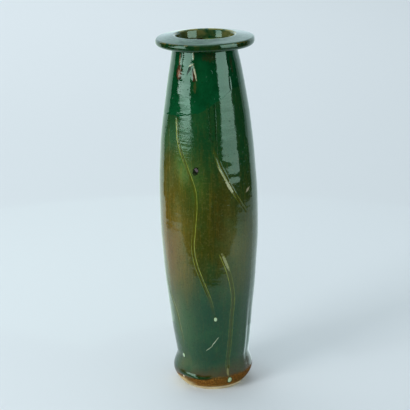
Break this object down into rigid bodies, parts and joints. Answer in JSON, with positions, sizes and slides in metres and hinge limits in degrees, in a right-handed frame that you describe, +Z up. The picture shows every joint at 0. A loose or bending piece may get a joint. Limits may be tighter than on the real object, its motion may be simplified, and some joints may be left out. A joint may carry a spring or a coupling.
{
  "type": "ceramic vase",
  "caption": "Tall slim stoneware vase with a bulging foot, a gentle belly and a flat collar around an open mouth, glazed inside and out.",
  "frame": {"origin": "middle of the flat underside, on the surface that the vase stands on", "axes": "+Z up; the mouth opens up, -Y faces the viewer of the picture, and the pot leans 1.36 degrees towards -X"},
  "size_m": [0.1063, 0.1026, 0.3787],
  "materials": {
    "bare_clay": "matt fired stoneware",
    "green_glaze": "glossy",
    "deep_green_glaze": "glossy",
    "lining_glaze": "glossy"
  },
  "bodies": {
    "root": {"foot_section": "bare_clay", "lower_body": "bare_clay", "middle_body": "bare_clay", "upper_body": "bare_clay", "rim_collar": "bare_clay", "base_glaze": "green_glaze", "second_glaze": "deep_green_glaze", "lining_glaze": "lining_glaze"}
  },
  "joints": []
}
